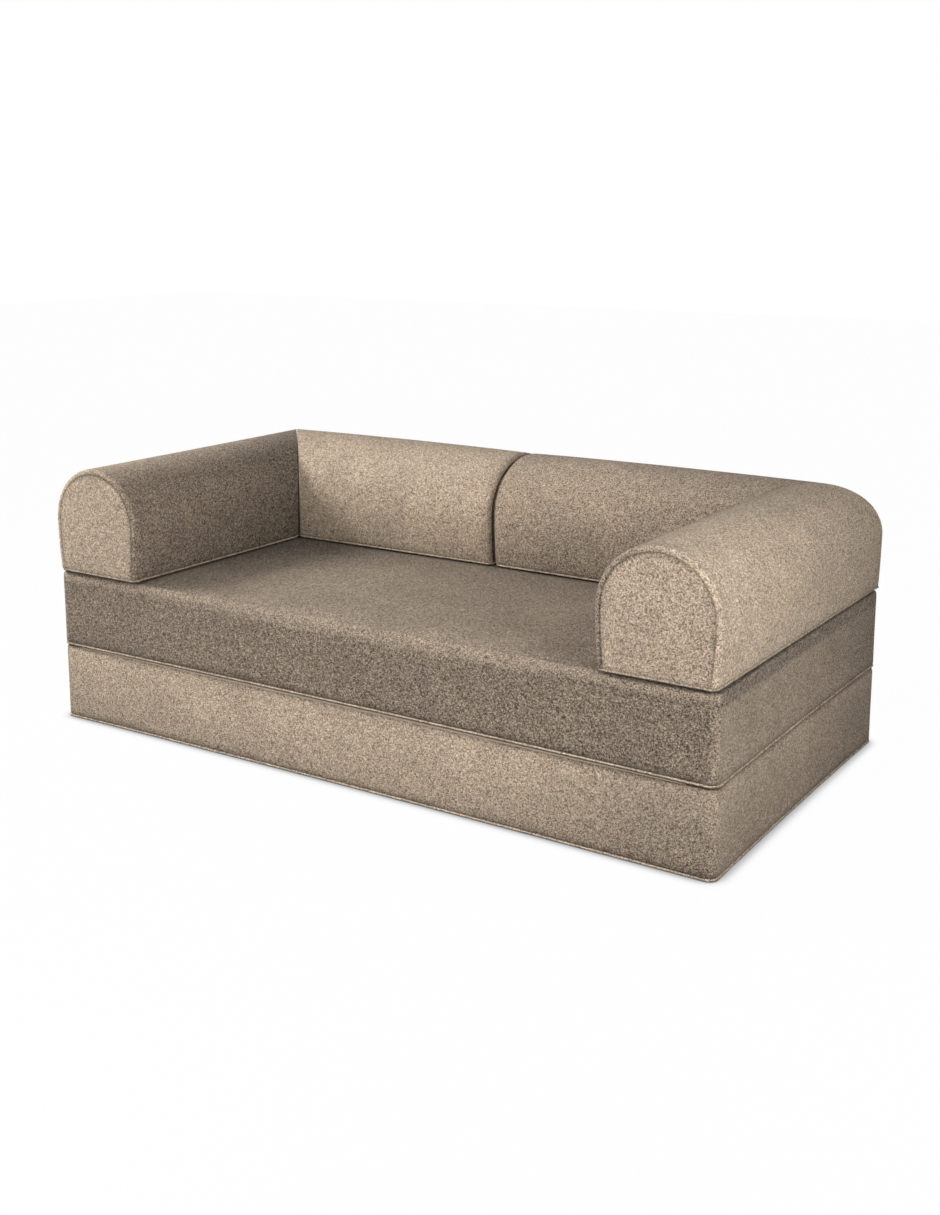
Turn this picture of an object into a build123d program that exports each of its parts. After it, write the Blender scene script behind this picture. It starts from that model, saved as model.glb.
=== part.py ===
from build123d import *
import os

os.makedirs("parts", exist_ok=True)

# A foam sofa bed: two upholstered slabs, folded over a cloth hinge, and four loose bolsters.
# X runs along the sofa, Y from front to back, Z up. The origin is under its middle, on the floor.

# Overall sizes, in millimetres
sofa_width = 1900.0
sofa_depth = 1000.0
slab_height = 200.0
arm_width = 288.0
back_width = 344.0
bolster_height = 288.0

# Form of the slabs
slab_corner_radius = 38.0
seat_edge_radius = 14.0
base_edge_radius = 8.0
front_hollow = 8.0
side_hollow = 4.0
seat_crown = 7.0
crown_rise_shares = (0.1, 1.0, 0.1)

# Form of the bolsters
base_draw = 9.0
end_edge_radius = 11.0
seam_inset = 14.0
seam_gap = 0.4
middle_gap = 11.0
mitre_gap = 5.0

# Covers and fillings
cover_thickness = 2.0
wadding_thickness = 8.0
fit_gap = 0.3
welt_radius = 3.0
welt_proud = 1.0
overrun = 5.0

# Cloth hinge between the slabs
hinge_leaf = 1.0
leaf_gap = 0.4
leaf_depth = 80.0
leaf_end_margin = 70.0
roll_radius = 1.5
hinge_stand_off = 0.4

# Hook and loop strips under the bolsters
strip_thickness = 2.0
strip_width = 50.0
strip_end_margin = 60.0
strip_place_shares = (0.27, 0.73)

# Zips
tape_width = 26.0
tape_thickness = 0.8
coil_width = 4.4
coil_height = 1.6
stop_length = 4.0
slider_length = 10.0
slider_wall = 0.8
tab_length = 24.0
tab_width = 5.0
slab_zip_height = 45.0
slab_zip_margin = 180.0
bolster_zip_margin = 70.0

# Levels
half_width = sofa_width / 2
half_depth = sofa_depth / 2
fold_gap = 2 * hinge_leaf + leaf_gap
seat_bottom = slab_height + fold_gap
seat_top = seat_bottom + slab_height
bolster_lift = 2 * strip_thickness + fit_gap
bolster_bottom = seat_top + bolster_lift
round_height = arm_width / 2
shoulder_height = bolster_height - bolster_lift - round_height

# Where the layers lie, counted in from the outside of a cover
wadding_inset = cover_thickness + fit_gap
wadding_inner_inset = wadding_inset + wadding_thickness
foam_inset = wadding_inner_inset + fit_gap
cover_rise = 2 * welt_radius + 2 * fit_gap
foam_rise = cover_thickness + fit_gap
welt_inset = welt_radius - welt_proud
panel_inset = welt_inset + welt_radius + fit_gap

# The hinge line stands just in front of the slabs, so the folded faces clear each other
hinge_y = -(half_depth + hinge_stand_off)
hinge_z = slab_height + fold_gap / 2
front_reach = hinge_stand_off + roll_radius

# The slider behind stands as proud as the hinge's roll in front
slider_height = coil_height + fit_gap + slider_wall
tape_recess = slider_height - front_reach


def write(part, name):
    part.label = name
    export_step(part, f"parts/{name}.step")


# One solid less another, as a cover is hollow
def shell(outer, inner):
    with BuildPart() as hollow:
        add(outer)
        add(inner, mode=Mode.SUBTRACT)
    return hollow.part


# Plan of a slab: the front and sides draw in between rounded corners, the rear is straight
def slab_plan(inset):
    right = half_width - inset
    rear = half_depth - inset
    with BuildSketch() as plan:
        with BuildLine():
            ThreePointArc((-right, -rear), (0, -rear + front_hollow), (right, -rear))
            ThreePointArc((right, -rear), (right - side_hollow, 0), (right, rear))
            Line((right, rear), (-right, rear))
            ThreePointArc((-right, rear), (-right + side_hollow, 0), (-right, -rear))
        make_face()
        fillet(plan.vertices(), radius=slab_corner_radius - inset)
    return plan.sketch


# The seat's crown: a shallow swell on the part of the top that no bolster stands on
def seat_swell(level):
    half_span = half_width - arm_width - seam_inset
    front = -half_depth + seat_edge_radius + front_hollow
    rear = half_depth - back_width - seam_inset
    places = (front, (front + rear) / 2, rear)
    with BuildPart() as swell:
        for place, rise_share in zip(places, crown_rise_shares):
            section = Plane(origin=(0, place, level), x_dir=(1, 0, 0), z_dir=(0, -1, 0))
            with BuildSketch(section):
                with BuildLine():
                    Line((-half_span, 0), (half_span, 0))
                    ThreePointArc((half_span, 0), (0, seat_crown * rise_share), (-half_span, 0))
                make_face()
        loft()
    return swell.part


# A slab as deep inside its cover as inset says, from a level up to its rounded top edge
def slab_form(kind, bottom, top, inset):
    edge_radius = (seat_edge_radius if kind == "seat" else base_edge_radius) - inset
    outline = slab_plan(inset)
    with BuildPart() as form:
        with BuildSketch(Plane.XY.offset(bottom)):
            add(outline)
        extrude(amount=top - inset - bottom)
        if edge_radius > 0:
            fillet(form.faces().sort_by(Axis.Z)[-1].edges(), radius=edge_radius)
        if kind == "seat":
            add(seat_swell(top - inset))
    return form.part


# Where a bolster lies: the plane of its flat end, with X across it from its outer side,
# the way it runs from there, its width, its length and how far the mitre runs back
def bolster_place(kind, side):
    if kind == "arm":
        end = Plane(
            origin=(side * half_width, -half_depth, bolster_bottom),
            x_dir=(-side, 0, 0),
            z_dir=(0, side, 0),
        )
        return end, side, arm_width, sofa_depth, back_width
    end = Plane(
        origin=(side * middle_gap / 2, half_depth, bolster_bottom),
        x_dir=(0, -1, 0),
        z_dir=(-1, 0, 0),
    )
    return end, -side, back_width, half_width - middle_gap / 2, arm_width


# The upright mitre plane from the outer rear corner to the inner one, facing its bolster
def mitre_plane(kind, side, back_off):
    toward_arm = Vector(side * back_width, -arm_width, 0).normalized()
    facing = toward_arm if kind == "arm" else -toward_arm
    corner = Vector(side * half_width, half_depth, 0)
    return Plane(origin=corner + facing * (mitre_gap / 2 + back_off), z_dir=facing)


# D section of a bolster: sides that draw in to the base, and half an oval over them
def bolster_section(plane, width, inset):
    left = inset
    right = width - inset
    with BuildSketch(plane) as section:
        with BuildLine():
            Line((left + base_draw, 0), (right - base_draw, 0))
            TangentArc((right, shoulder_height), (right - base_draw, 0), tangent=(0, -1))
            EllipticalCenterArc(
                (width / 2, shoulder_height),
                width / 2 - inset,
                round_height - inset,
                start_angle=0,
                arc_size=180,
            )
            TangentArc((left, shoulder_height), (left + base_draw, 0), tangent=(0, -1))
        make_face()
    return section.sketch


# Edges round an upright end of a bolster, all but the one along its open bottom
def end_edges(part, facing):
    ends = part.faces().filter_by(GeomType.PLANE)
    face = ends.sort_by(lambda f: f.normal_at().dot(facing))[-1]
    return face.edges().sort_by(Axis.Z)[1:]


# A bolster as deep inside its cover as inset says, from a height over its underside
def bolster_form(kind, side, inset, rise):
    end, run_way, width, length, run = bolster_place(kind, side)
    mitre = mitre_plane(kind, side, inset)
    edge_radius = end_edge_radius - inset
    with BuildPart() as form:
        section = bolster_section(end.offset(run_way * inset), width, inset)
        extrude(section, amount=run_way * (length - inset))
        split(bisect_by=mitre, keep=Keep.TOP)
        split(bisect_by=Plane.XY.offset(bolster_bottom + rise), keep=Keep.TOP)
        if edge_radius > end_edge_radius / 2:
            fillet(end_edges(form.part, end.z_dir * -run_way), radius=edge_radius)
            fillet(end_edges(form.part, -mitre.z_dir), radius=edge_radius)
    return form.part


# Plan of a bolster's base, with its mitred corner
def bolster_plan(kind, side, inset):
    end, run_way, width, length, run = bolster_place(kind, side)
    back_off = (mitre_gap / 2 + inset) * (width**2 + run**2) ** 0.5 / width
    outer = base_draw + inset
    inner = width - base_draw - inset
    corners = [
        (outer, inset),
        (inner, inset),
        (inner, length - run * inner / width - back_off),
        (outer, length - run * outer / width - back_off),
    ]
    with BuildSketch() as plan:
        with BuildLine():
            Polyline(*[place_in_plan(end, run_way, a, b) for a, b in corners], close=True)
        make_face()
        fillet(plan.vertices(), radius=end_edge_radius - inset)
    return plan.sketch


# A point of the plan, from how far across and how far along its bolster it lies
def place_in_plan(end, run_way, across, along):
    point = end.origin + end.x_dir * across + end.z_dir * (run_way * along)
    return (point.X, point.Y)


# A piped welt round an outline, with its lowest point at a level
def welt(outline, level):
    path = outline.face().outer_wire().moved(Location((0, 0, level + fit_gap + welt_radius)))
    with BuildPart() as piping:
        with BuildSketch(Plane(origin=path @ 0, z_dir=path % 0)):
            Circle(welt_radius)
        sweep(path=path)
    return piping.part


# A flat panel with its outline on a level, and a slot where its zip is sewn in
def bottom_panel(outline, level, slot_plane, slot_length):
    with BuildPart() as panel:
        with BuildSketch(Plane.XY.offset(level)):
            add(outline)
        extrude(amount=cover_thickness)
        if slot_plane:
            add(zip_slot(slot_plane, slot_length), mode=Mode.SUBTRACT)
    return panel.part


# The slot in a cover that a zip's tapes fill
def zip_slot(face, length):
    with BuildPart() as slot:
        with BuildSketch(face.offset(overrun)):
            Rectangle(length + 2 * fit_gap, tape_width + 2 * fit_gap)
        extrude(amount=-2 * overrun)
    return slot.part


# Tapes, closed coil and end stops, sunk a little below the face that they are sewn to
def zip_chain(face, length):
    tape_face = face.offset(-tape_recess)
    stop_width = coil_width + 2 * fit_gap + 2 * slider_wall
    with BuildPart() as chain:
        with BuildSketch(tape_face):
            Rectangle(length, tape_width)
        extrude(amount=-tape_thickness)
        with BuildSketch(tape_face):
            Rectangle(length - 2 * stop_length, coil_width)
        extrude(amount=coil_height)
        with BuildSketch(tape_face):
            with Locations(
                (length / 2 - stop_length / 2, 0), (-length / 2 + stop_length / 2, 0)
            ):
                Rectangle(stop_length, stop_width)
        extrude(amount=coil_height)
    return chain.part


# The slider straddles the coil at the closed end, with its tab lying along the chain
def zip_slider(face, length, way):
    tape_face = face.offset(-tape_recess)
    outer_width = coil_width + 2 * fit_gap + 2 * slider_wall
    start = -way * (length / 2 - stop_length - fit_gap - slider_length / 2)
    tab_start = start + way * (slider_length / 2 + tab_length / 2)
    with BuildPart() as slider:
        with BuildSketch(tape_face.offset(fit_gap)):
            with Locations((start, 0)):
                Rectangle(slider_length, outer_width)
        extrude(amount=slider_height - fit_gap)
        with BuildSketch(tape_face):
            with Locations((start, 0)):
                Rectangle(slider_length + overrun, coil_width + 2 * fit_gap)
        extrude(amount=coil_height + fit_gap, mode=Mode.SUBTRACT)
        with BuildSketch(tape_face.offset(slider_height - slider_wall)):
            with Locations((tab_start, 0)):
                Rectangle(tab_length, tab_width)
        extrude(amount=slider_wall)
    return slider.part


# Slabs
slab_zip_length = sofa_width - 2 * slab_zip_margin
for kind, bottom in (("base", 0), ("seat", seat_bottom)):
    top = bottom + slab_height
    low = bottom + cover_rise
    below = low - overrun
    rear = Plane(
        origin=(0, half_depth, bottom + slab_zip_height), x_dir=(1, 0, 0), z_dir=(0, 1, 0)
    )
    with BuildPart() as cover:
        add(shell(slab_form(kind, low, top, 0), slab_form(kind, below, top, cover_thickness)))
        add(zip_slot(rear, slab_zip_length), mode=Mode.SUBTRACT)
    wadding = shell(
        slab_form(kind, low, top, wadding_inset),
        slab_form(kind, below, top, wadding_inner_inset),
    )
    write(cover.part, f"{kind}_cover")
    write(wadding, f"{kind}_wadding")
    write(slab_form(kind, bottom + foam_rise, top, foam_inset), f"{kind}_foam_core")
    write(bottom_panel(slab_plan(panel_inset), bottom, None, 0), f"{kind}_bottom_panel")
    write(welt(slab_plan(welt_inset), bottom), f"{kind}_bottom_welt")
    write(zip_chain(rear, slab_zip_length), f"{kind}_zip")
    write(zip_slider(rear, slab_zip_length, 1), f"{kind}_zip_slider")

# Cloth hinge: a rolled edge on the hinge line, and a leaf on each slab
leaf_length = sofa_width - 2 * leaf_end_margin
with BuildPart() as hinge_lower:
    with BuildSketch(Plane.XY.offset(slab_height)):
        with Locations((0, hinge_y + leaf_depth / 2)):
            Rectangle(leaf_length, leaf_depth)
    extrude(amount=hinge_leaf)
    with BuildSketch(Plane.YZ.offset(-leaf_length / 2)):
        with Locations((hinge_y, hinge_z)):
            Circle(roll_radius)
    extrude(amount=leaf_length)
write(hinge_lower.part, "hinge_cloth_lower")

with BuildPart() as hinge_upper:
    upper_start = hinge_y + roll_radius + fit_gap
    upper_depth = leaf_depth - roll_radius - fit_gap
    with BuildSketch(Plane.XY.offset(seat_bottom - hinge_leaf)):
        with Locations((0, upper_start + upper_depth / 2)):
            Rectangle(leaf_length, upper_depth)
    extrude(amount=hinge_leaf)
write(hinge_upper.part, "hinge_cloth_upper")

# Bolsters: two arms and two halves of the back
loops = []
for name, kind, side in (
    ("left_arm", "arm", -1),
    ("right_arm", "arm", 1),
    ("back_left", "back", -1),
    ("back_right", "back", 1),
):
    end, run_way, width, length, run = bolster_place(kind, side)
    mitre = mitre_plane(kind, side, 0)

    # End panels: a D at the flat end and one on the mitre, each inside its seam
    panels = []
    holes = []
    for group, inset in ((panels, seam_inset), (holes, seam_inset - seam_gap)):
        depth = cover_thickness if group is panels else cover_thickness + fit_gap
        with BuildPart() as flat_end:
            extrude(bolster_section(end, width, inset), amount=run_way * depth)
            split(bisect_by=Plane.XY.offset(bolster_bottom + cover_rise), keep=Keep.TOP)
        with BuildPart() as mitre_end:
            extrude(bolster_section(end, width, inset), amount=run_way * length)
            split(bisect_by=mitre, keep=Keep.TOP)
            split(bisect_by=mitre.offset(depth), keep=Keep.BOTTOM)
            split(bisect_by=Plane.XY.offset(bolster_bottom + cover_rise), keep=Keep.TOP)
        group.extend([flat_end.part, mitre_end.part])

    with BuildPart() as cover:
        add(
            shell(
                bolster_form(kind, side, 0, cover_rise),
                bolster_form(kind, side, cover_thickness, cover_rise - overrun),
            )
        )
        for hole in holes:
            add(hole, mode=Mode.SUBTRACT)
    wadding = shell(
        bolster_form(kind, side, wadding_inset, cover_rise),
        bolster_form(kind, side, wadding_inner_inset, cover_rise - overrun),
    )
    write(cover.part, f"{name}_cover")
    write(Compound(children=panels), f"{name}_end_panels")
    write(wadding, f"{name}_wadding")
    write(bolster_form(kind, side, foam_inset, foam_rise), f"{name}_foam_core")

    # The underside: panel, zip along its middle, welt and two hook strips
    short_side = length - run
    middle_x, middle_y = place_in_plan(end, run_way, width / 2, short_side / 2)
    underside = Plane(
        origin=(middle_x, middle_y, bolster_bottom), x_dir=end.z_dir, z_dir=(0, 0, -1)
    )
    zip_length = short_side - 2 * bolster_zip_margin
    base_panel = bottom_panel(
        bolster_plan(kind, side, panel_inset), bolster_bottom, underside, zip_length
    )
    write(base_panel, f"{name}_bottom_panel")
    write(welt(bolster_plan(kind, side, welt_inset), bolster_bottom), f"{name}_bottom_welt")
    write(zip_chain(underside, zip_length), f"{name}_zip")
    write(zip_slider(underside, zip_length, run_way), f"{name}_zip_slider")

    strip_length = short_side - 2 * strip_end_margin
    strip_sites = []
    for place_share in strip_place_shares:
        strip_sites.append(
            place_in_plan(end, run_way, width * place_share, short_side / 2)
        )
    size = (strip_width, strip_length) if kind == "arm" else (strip_length, strip_width)
    with BuildPart() as hooks:
        with BuildSketch(Plane.XY.offset(bolster_bottom - strip_thickness)):
            with Locations(*strip_sites):
                Rectangle(*size)
        extrude(amount=strip_thickness)
    write(hooks.part, f"{name}_hook_strips")
    with BuildPart() as loop_pair:
        with BuildSketch(Plane.XY.offset(seat_top)):
            with Locations(*strip_sites):
                Rectangle(*size)
        extrude(amount=strip_thickness)
    loops.append(loop_pair.part)

with BuildPart() as loop_strips:
    for pair in loops:
        add(pair)
write(loop_strips.part, "loop_strips")
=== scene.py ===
import math

import bmesh
import bpy
import numpy as np
from mathutils import Matrix, Vector, noise


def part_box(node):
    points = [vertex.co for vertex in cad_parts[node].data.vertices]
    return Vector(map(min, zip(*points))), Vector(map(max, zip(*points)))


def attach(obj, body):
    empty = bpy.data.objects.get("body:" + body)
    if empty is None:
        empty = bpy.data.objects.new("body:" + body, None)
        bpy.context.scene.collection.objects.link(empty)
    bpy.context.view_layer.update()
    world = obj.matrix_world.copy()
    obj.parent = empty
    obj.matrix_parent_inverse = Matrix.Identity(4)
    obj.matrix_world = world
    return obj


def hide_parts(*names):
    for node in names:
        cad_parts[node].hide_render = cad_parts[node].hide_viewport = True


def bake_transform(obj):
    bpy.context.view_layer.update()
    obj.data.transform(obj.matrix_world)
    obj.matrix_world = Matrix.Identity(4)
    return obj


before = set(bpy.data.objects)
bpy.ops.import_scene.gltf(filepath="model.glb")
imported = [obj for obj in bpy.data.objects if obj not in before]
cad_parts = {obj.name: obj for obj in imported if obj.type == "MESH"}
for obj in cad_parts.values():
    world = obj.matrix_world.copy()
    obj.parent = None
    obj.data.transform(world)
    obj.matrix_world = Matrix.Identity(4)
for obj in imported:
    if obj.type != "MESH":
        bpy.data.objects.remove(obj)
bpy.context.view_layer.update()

scene = bpy.context.scene
scene.view_settings.view_transform = "Standard"

# A foam sofa bed: two covered slabs folded over a cloth hinge, and four loose D bolsters on top.
# Everything is in metres, X along the sofa, Y from front to back, Z up.


# Materials

def startMaterial(name):
    material = bpy.data.materials.new(name)
    material.use_nodes = True
    tree = material.node_tree
    tree.nodes.clear()
    output = tree.nodes.new("ShaderNodeOutputMaterial")
    shader = tree.nodes.new("ShaderNodeBsdfPrincipled")
    tree.links.new(shader.outputs["BSDF"], output.inputs["Surface"])
    return material, tree, shader


def setInputs(tree, node, inputs):
    for key, value in inputs.items():
        if isinstance(value, bpy.types.NodeSocket):
            tree.links.new(value, node.inputs[key])
        else:
            node.inputs[key].default_value = value


def addNode(tree, kind, settings=None, inputs=None):
    node = tree.nodes.new("ShaderNode" + kind)
    for key, value in (settings or {}).items():
        setattr(node, key, value)
    setInputs(tree, node, inputs or {})
    return node


def calculate(tree, operation, *values):
    node = addNode(tree, "Math", {"operation": operation}, dict(enumerate(values)))
    return node.outputs["Value"]


def addRamp(tree, factor, stops):
    ramp = addNode(tree, "ValToRGB", inputs={"Fac": factor})
    elements = ramp.color_ramp.elements
    while len(elements) < len(stops):
        elements.new(0.5)
    for element, (place, colour) in zip(elements, stops):
        element.position = place
        element.color = (*colour, 1.0)
    return ramp.outputs["Color"]


def mixColours(tree, mode, factor, first, second):
    mix = addNode(tree, "Mix", {"data_type": "RGBA", "blend_type": mode}, {
        0: factor, 6: first, 7: second})
    return mix.outputs[2]


# A material's colour, its bump from a height, and its other inputs
def finishShader(tree, shader, colour, height, strength, depth, inputs, invert=False):
    bump = addNode(tree, "Bump", {"invert": invert}, {
        "Height": height, "Strength": strength, "Distance": depth})
    setInputs(tree, shader, {"Base Color": colour, "Normal": bump.outputs["Normal"], **inputs})


chenille = {
    "light": (0.63, 0.51, 0.386),
    "middle": (0.349, 0.272, 0.202),
    "dark": (0.117, 0.088, 0.063),
    "dashScale": 720.0,
    "dashShape": 0.38,
    "warp": 0.0045,
    "warpScale": 90.0,
    # How far the nap, with its painted shade, darkens the cloth, how much more it darkens the dark
    # yarns, and the least colour it leaves
    "napAndPaintedShadeDepth": 0.4,
    "napAndPaintedShadeSpeckle": 1.9,
    "leastNapAndPaintedShadeFactor": 0.12,
    "patchScale": 9.0,
    "fibreScale": 1500.0,
    # The welts' cloth is painted lighter, a painted highlight on the piping
    "weltPaintedHighlight": 1.2,
    "bumpDepth": 0.0013,
}


# Marled chenille: short dashes of three yarns lying every way, and broad brushed patches. Its pile
# looks darker from the side it leans away from, which the covers' points keep as their nap, with
# painted shade and painted highlight mixed in. Another value on the points paints shade in seams,
# along feet and under blocks, and paints highlight on rolled edges and welt tops.
def chenilleMaterial(name, shade):
    material, tree, shader = startMaterial(name)
    place = addNode(tree, "TexCoord").outputs["Object"]
    warp = addNode(tree, "TexNoise", inputs={
        "Vector": place, "Scale": chenille["warpScale"], "Detail": 1.0})
    warped = addNode(tree, "MixRGB", {"blend_type": "LINEAR_LIGHT"}, {
        "Fac": chenille["warp"], "Color1": place, "Color2": warp.outputs["Color"]})
    tone = 0.0
    for axis in range(3):
        spread = [chenille["dashScale"]] * 3
        spread[axis] *= chenille["dashShape"]
        laid = addNode(tree, "Mapping", inputs={
            "Vector": warped.outputs["Color"], "Location": (3.0 * axis, 5.0 * axis, 7.0 * axis),
            "Scale": spread})
        dashes = addNode(tree, "TexVoronoi", inputs={
            "Vector": laid.outputs["Vector"], "Scale": 1.0})
        strand = addNode(tree, "SeparateColor", inputs={"Color": dashes.outputs["Color"]})
        tone = calculate(tree, "MULTIPLY_ADD", strand.outputs["Red"], 1 / 3, tone)
    shades = [[channel * shade for channel in chenille[key]] for key in ("dark", "middle", "light")]
    yarn = addRamp(tree, tone, [
        (0.31, shades[0]), (0.47, shades[1]), (0.53, shades[1]), (0.69, shades[2])])
    patches = addNode(tree, "TexNoise", inputs={
        "Vector": place, "Scale": chenille["patchScale"], "Detail": 3.0, "Roughness": 0.55})
    toneShift = addRamp(tree, patches.outputs["Fac"], [
        (0.30, (0.91, 0.91, 0.915)), (0.70, (1.07, 1.07, 1.06))])
    worn = mixColours(tree, "MULTIPLY", 1.0, yarn, toneShift)
    # Painted shading from the points: painted shade in seams, along feet and where blocks lie over
    # the cloth, painted highlight on rolled edges and welt tops
    seam = addNode(tree, "Attribute", {"attribute_name": "seam"})
    seamShade = addRamp(tree, addNode(tree, "MapRange", inputs={
        "Value": seam.outputs["Fac"], "From Min": -1.0}).outputs["Result"], [
        (0.0, (1.5, 1.5, 1.48)), (0.5, (1.0, 1.0, 1.0)), (1.0, (0.28, 0.27, 0.26))])
    colour = mixColours(tree, "MULTIPLY", 1.0, worn, seamShade)
    # The nap, with painted shade and painted highlight in it, darkens or lightens the cloth, and
    # darkens the dark yarns most
    napAndPaintedShade = addNode(tree, "Attribute", {"attribute_name": "napAndPaintedShade"}).outputs["Fac"]
    speckle = calculate(
        tree, "MULTIPLY_ADD", tone, -chenille["napAndPaintedShadeSpeckle"], chenille["napAndPaintedShadeSpeckle"] / 2)
    darkeningPart = calculate(tree, "MAXIMUM", napAndPaintedShade, 0.0)
    turned = calculate(tree, "MULTIPLY_ADD", darkeningPart, speckle, napAndPaintedShade)
    napAndPaintedShadeFactor = calculate(tree, "MULTIPLY_ADD", turned, -chenille["napAndPaintedShadeDepth"], 1.0)
    shown = calculate(tree, "MAXIMUM", napAndPaintedShadeFactor, chenille["leastNapAndPaintedShadeFactor"])
    colour = mixColours(tree, "MULTIPLY", 1.0, colour, shown)
    fibre = addNode(tree, "TexNoise", inputs={
        "Vector": place, "Scale": chenille["fibreScale"], "Detail": 2.0, "Roughness": 0.6})
    loft = calculate(
        tree, "MULTIPLY_ADD", dashes.outputs["Distance"], -1.0, fibre.outputs["Fac"])
    finishShader(tree, shader, colour, loft, 0.75, chenille["bumpDepth"], {
        "Roughness": 0.95, "Specular IOR Level": 0.18, "Sheen Weight": 0.12,
        "Sheen Roughness": 0.45, "Sheen Tint": (0.95, 0.88, 0.78, 1.0)})
    return material


wovenTones = {
    "underlay": {"dark": (0.035, 0.032, 0.029), "light": (0.085, 0.078, 0.070), "pitch": 900.0},
    "hinge": {"dark": (0.20, 0.165, 0.13), "light": (0.34, 0.285, 0.225), "pitch": 1100.0},
    "tape": {"dark": (0.16, 0.13, 0.105), "light": (0.27, 0.225, 0.18), "pitch": 1500.0},
}


# Plain woven cloth: crossed threads with a little unevenness
def wovenMaterial(name, tones):
    material, tree, shader = startMaterial(name)
    place = addNode(tree, "TexCoord").outputs["Object"]
    threads = []
    for direction in ("X", "Y", "Z"):
        threads.append(addNode(tree, "TexWave", {
            "wave_type": "BANDS", "bands_direction": direction, "wave_profile": "SIN"}, {
            "Vector": place, "Scale": tones["pitch"] / 20.0, "Distortion": 1.6,
            "Detail": 1.0, "Detail Scale": 2.0}))
    crossed = calculate(
        tree, "MULTIPLY", threads[0].outputs["Fac"], threads[1].outputs["Fac"])
    height = calculate(tree, "ADD", crossed, threads[2].outputs["Fac"])
    uneven = addNode(tree, "TexNoise", inputs={"Vector": place, "Scale": 240.0, "Detail": 3.0})
    tone = calculate(tree, "MULTIPLY", height, uneven.outputs["Fac"])
    colour = addRamp(tree, tone, [(0.1, tones["dark"]), (0.75, tones["light"])])
    finishShader(tree, shader, colour, height, 0.5, 0.0003, {
        "Roughness": 0.88, "Specular IOR Level": 0.2})
    return material


# Open cells of seat foam, or the loose fibres of the wadding
def fillingMaterial(name, cellScale, dark, light):
    material, tree, shader = startMaterial(name)
    place = addNode(tree, "TexCoord").outputs["Object"]
    cells = addNode(tree, "TexVoronoi", inputs={"Vector": place, "Scale": cellScale})
    colour = addRamp(tree, cells.outputs["Distance"], [(0.05, dark), (0.6, light)])
    finishShader(
        tree, shader, colour, cells.outputs["Distance"], 0.6, 0.0006, {"Roughness": 0.97})
    return material


# Moulded nylon coil, or the nickel of a slider, with fine wear in its gloss
def hardMaterial(name, colour, metallic, roughness):
    material, tree, shader = startMaterial(name)
    place = addNode(tree, "TexCoord").outputs["Object"]
    wear = addNode(tree, "TexNoise", inputs={"Vector": place, "Scale": 700.0, "Detail": 4.0})
    dull = [channel * 0.72 for channel in colour]
    tone = addRamp(tree, wear.outputs["Fac"], [(0.35, dull), (0.6, colour)])
    gloss = addNode(tree, "MapRange", inputs={
        "Value": wear.outputs["Fac"], "To Min": roughness * 0.75, "To Max": roughness * 1.3})
    setInputs(tree, shader, {
        "Base Color": tone, "Roughness": gloss.outputs["Result"], "Metallic": metallic})
    return material


# Pile of hook or loop tape: dense short fibres in rows
def pileMaterial(name, dark, light, rows):
    material, tree, shader = startMaterial(name)
    place = addNode(tree, "TexCoord").outputs["Object"]
    tufts = addNode(tree, "TexVoronoi", inputs={
        "Vector": place, "Scale": rows, "Randomness": 0.55})
    colour = addRamp(tree, tufts.outputs["Distance"], [(0.1, light), (0.65, dark)])
    finishShader(tree, shader, colour, tufts.outputs["Distance"], 0.9, 0.0008, {
        "Roughness": 0.9}, invert=True)
    return material


fabric = chenilleMaterial("chenille", 1.0)
weltCloth = chenilleMaterial("chenille_welt", chenille["weltPaintedHighlight"])
underlay = wovenMaterial("underlay", wovenTones["underlay"])
hingeCloth = wovenMaterial("hinge_cloth", wovenTones["hinge"])
zipTape = wovenMaterial("zip_tape", wovenTones["tape"])
foam = fillingMaterial("foam", 700.0, (0.55, 0.50, 0.38), (0.80, 0.75, 0.60))
wadding = fillingMaterial("wadding", 420.0, (0.68, 0.68, 0.67), (0.86, 0.86, 0.85))
coilNylon = hardMaterial("coil_nylon", (0.24, 0.20, 0.16), 0.0, 0.42)
nickel = hardMaterial("nickel", (0.62, 0.60, 0.57), 1.0, 0.30)
hookPile = pileMaterial("hook_pile", (0.03, 0.028, 0.026), (0.10, 0.095, 0.09), 620.0)
hookWeb = wovenMaterial("hook_web", wovenTones["underlay"])
stitchThread = hardMaterial("stitch_thread", (0.40, 0.33, 0.26), 0.0, 0.8)
loopPile = pileMaterial("loop_pile", (0.05, 0.045, 0.04), (0.13, 0.12, 0.11), 380.0)
print("materials made")


# Making pieces

def addObject(name, data):
    added = bpy.data.objects.new(name, data)
    scene.collection.objects.link(added)
    return added


def dressPiece(name, mesh, materials, smooth=True):
    for material in materials:
        mesh.materials.append(material)
    for polygon in mesh.polygons:
        polygon.use_smooth = smooth
    piece = addObject(name, mesh)
    return piece


def makePiece(name, bm, materials, smooth=True):
    mesh = bpy.data.meshes.new(name)
    bm.to_mesh(mesh)
    bm.free()
    return dressPiece(name, mesh, materials, smooth)


def builtMesh(piece):
    graph = bpy.context.evaluated_depsgraph_get()
    return bpy.data.meshes.new_from_object(piece.evaluated_get(graph), depsgraph=graph)


# The piece's modifiers become part of its mesh
def settle(piece):
    mesh = builtMesh(piece)
    piece.modifiers.clear()
    piece.data = mesh


def smoothOnce(piece):
    rounding = piece.modifiers.new("rounding", "SUBSURF")
    rounding.levels = 1
    rounding.render_levels = 1
    settle(piece)


def joinTo(bm, other):
    mesh = bpy.data.meshes.new("part")
    other.to_mesh(mesh)
    other.free()
    bm.from_mesh(mesh)
    bpy.data.meshes.remove(mesh)


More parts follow.
